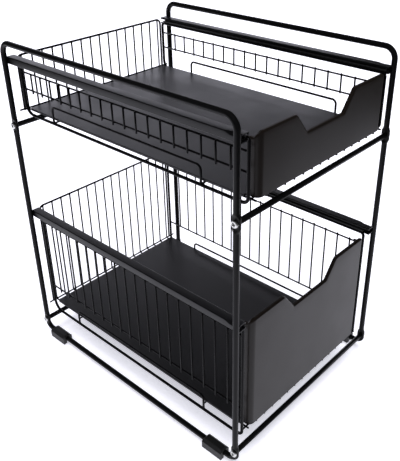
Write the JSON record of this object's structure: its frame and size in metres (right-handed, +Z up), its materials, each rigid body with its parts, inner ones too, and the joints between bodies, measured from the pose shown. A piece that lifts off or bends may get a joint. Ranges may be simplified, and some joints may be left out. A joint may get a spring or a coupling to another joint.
{
  "type": "under sink organizer",
  "caption": "Tiered under-sink organizer: black tube frame with wire basket drawers that pull forward on side rails.",
  "frame": {"origin": "centre of the footprint, on the floor that the feet stand on", "axes": "+Z up, -Y towards the front that the drawers pull out of, +X to the right seen from the front"},
  "size_m": [0.3154, 0.4122, 0.4773],
  "materials": {
    "tube_powder_coat": "semi-gloss black powder coat",
    "wire_powder_coat": "semi-gloss black powder coat",
    "rail_powder_coat": "satin black powder coat",
    "runner_steel": "satin black coated steel",
    "zinc_plate": "bright zinc plate",
    "foot_rubber": "matt black",
    "liner_plastic": "satin dark grey",
    "panel_powder_coat": "fine satin black powder coat"
  },
  "bodies": {
    "frame": {"back_bottom_crossbar": "tube_powder_coat", "back_left_foot": "foot_rubber", "back_mid_crossbar": "tube_powder_coat", "back_right_foot": "foot_rubber", "crossbar_inserts": "zinc_plate", "frame_screws": "zinc_plate", "front_bottom_crossbar": "tube_powder_coat", "front_left_foot": "foot_rubber", "front_mid_crossbar": "tube_powder_coat", "front_right_foot": "foot_rubber", "left_side_frame": "tube_powder_coat", "lower_left_fixed_rail": "rail_powder_coat", "lower_right_fixed_rail": "rail_powder_coat", "right_side_frame": "tube_powder_coat", "upper_left_fixed_rail": "rail_powder_coat", "upper_right_fixed_rail": "rail_powder_coat"},
    "upper_drawer": {"upper_back_cross_wire": "wire_powder_coat", "upper_back_hoop": "wire_powder_coat", "upper_front_panel": "panel_powder_coat", "upper_left_guard_wire": "wire_powder_coat", "upper_left_hanger_loop": "wire_powder_coat", "upper_left_runner": "runner_steel", "upper_left_side_grid": "wire_powder_coat", "upper_right_guard_wire": "wire_powder_coat", "upper_right_hanger_loop": "wire_powder_coat", "upper_right_runner": "runner_steel", "upper_right_side_grid": "wire_powder_coat", "upper_tray_liner": "liner_plastic", "upper_wire_bed": "wire_powder_coat"},
    "lower_drawer": {"lower_back_cross_wire": "wire_powder_coat", "lower_back_hoop": "wire_powder_coat", "lower_front_panel": "panel_powder_coat", "lower_left_guard_wire": "wire_powder_coat", "lower_left_hanger_loop": "wire_powder_coat", "lower_left_runner": "runner_steel", "lower_left_side_grid": "wire_powder_coat", "lower_right_guard_wire": "wire_powder_coat", "lower_right_hanger_loop": "wire_powder_coat", "lower_right_runner": "runner_steel", "lower_right_side_grid": "wire_powder_coat", "lower_tray_liner": "liner_plastic", "lower_wire_bed": "wire_powder_coat"}
  },
  "joints": [
    {"name": "upper_drawer_slide", "type": "slide", "parent": "frame", "child": "upper_drawer", "axis": [0, -1, 0], "range_m": [0, 0.27]},
    {"name": "lower_drawer_slide", "type": "slide", "parent": "frame", "child": "lower_drawer", "axis": [0, -1, 0], "range_m": [0, 0.27]}
  ]
}
